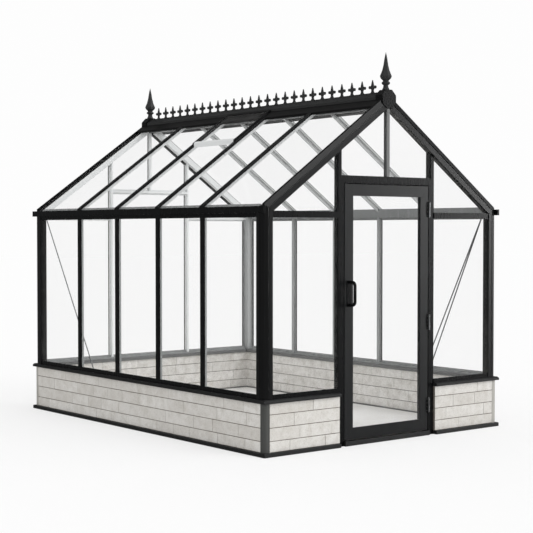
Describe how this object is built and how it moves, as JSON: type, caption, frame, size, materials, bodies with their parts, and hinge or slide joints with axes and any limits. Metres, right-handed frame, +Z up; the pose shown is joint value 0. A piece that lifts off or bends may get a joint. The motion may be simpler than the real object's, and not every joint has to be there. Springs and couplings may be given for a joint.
{
  "type": "glass greenhouse",
  "caption": "Gabled glass greenhouse with a black bar frame on a low pale brick plinth, a hinged glazed door, a roof vent, and a crested ridge with finials.",
  "frame": {"origin": "middle of the floor slab's underside, on the ground, midway between the long walls and between the gables", "axes": "+Z up, +Y along the ridge away from the door, +X to the right when facing the door from outside"},
  "size_m": [2.5, 3.44, 2.9997],
  "materials": {
    "frame": "satin black powder coat on aluminium",
    "casting": "satin black powder coat on cast aluminium",
    "trim": "dark grey painted metal",
    "brick": "pale pitted brick with thin dark joints",
    "slab": "floated pale concrete",
    "glass": "clear float glass",
    "hinge": "zinc plated steel"
  },
  "bodies": {
    "house": {"side_base_rails": "frame", "end_base_rails": "frame", "side_plinths": "brick", "end_plinths": "brick", "plinth_corner_posts": "trim", "side_caps": "frame", "end_caps": "frame", "floor_slab": "slab", "threshold": "frame", "side_sills": "frame", "end_sills": "frame", "corner_posts": "frame", "wall_bars": "frame", "eave_beams": "frame", "gutters": "frame", "front_rafters": "frame", "rear_rafters": "frame", "roof_bars": "frame", "ridge_beam": "frame", "ridge_cap": "frame", "ridge_ends": "casting", "ridge_cresting": "casting", "finials": "casting", "door_jambs": "frame", "door_head": "frame", "door_stops": "frame", "front_transoms": "frame", "rear_uprights": "frame", "rear_head": "frame", "rear_transoms": "frame", "king_bars": "frame", "wall_glass": "glass", "front_gable_glass": "glass", "rear_gable_glass": "glass", "roof_glass": "glass", "roof_vent_sill": "frame", "roof_vent_sash": "frame", "roof_vent_glass": "glass", "wall_stays": "frame", "jamb_hinges": "hinge"},
    "door": {"door_stiles": "frame", "door_rails": "frame", "door_glass": "glass", "door_hinges": "hinge", "door_handle": "frame"}
  },
  "joints": [
    {"name": "door_swing", "type": "hinge", "parent": "house", "child": "door", "pos_m": [0.4485, -1.668, 0.9], "axis": [0, 0, 1], "range_deg": [0, 110]}
  ]
}
